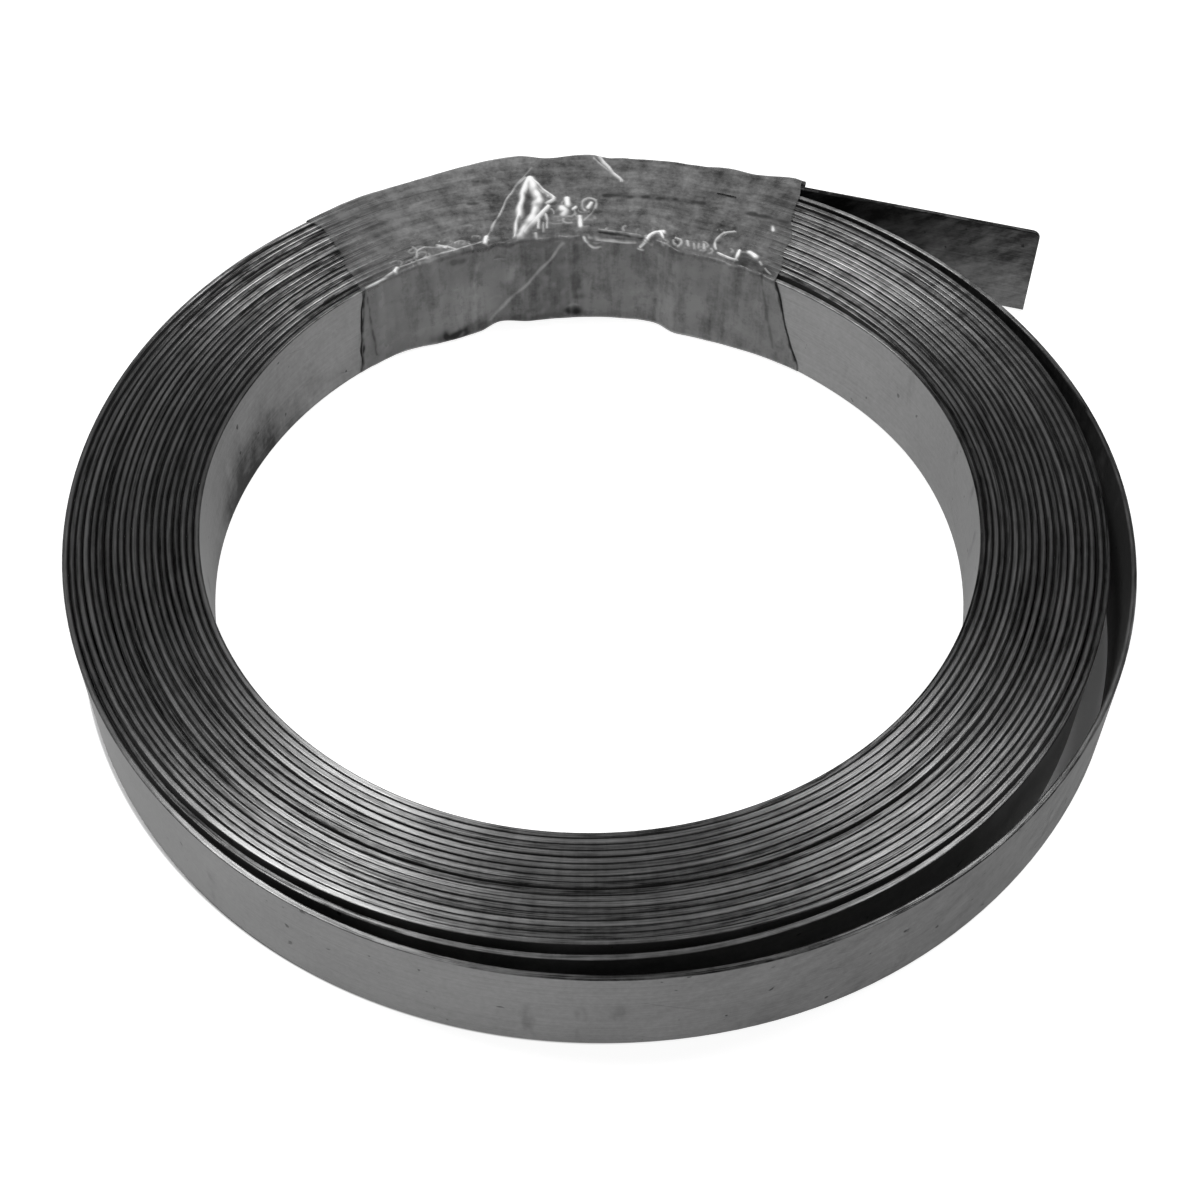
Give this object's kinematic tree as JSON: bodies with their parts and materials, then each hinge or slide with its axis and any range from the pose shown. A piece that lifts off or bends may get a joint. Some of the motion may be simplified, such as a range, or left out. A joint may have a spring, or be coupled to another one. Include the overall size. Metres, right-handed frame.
{
  "type": "coil of metal strip",
  "caption": "Narrow flat metal strip wound into a low open coil, its outer turn sprung loose and its end sticking out straight, held by a short wrap of clear film.",
  "frame": {"origin": "on the bore's axis, in the plane of the coil's lower face", "axes": "+Z along the bore, up from the face the coil lies on; seen from above, the straight free end leaves the coil at 75 degrees counter-clockwise from +X and points towards +X; the film wrap is on the +Y side"},
  "size_m": [0.0907, 0.0912, 0.0104],
  "materials": {
    "strip_metal": "satin rolled nickel-plated strip with dull stains and bright worn edges",
    "clear_film": "thin clear plastic film, glossy, creased and wrinkled"
  },
  "bodies": {
    "root": {"strip_coil": "strip_metal", "film_wrap": "clear_film"}
  },
  "joints": []
}
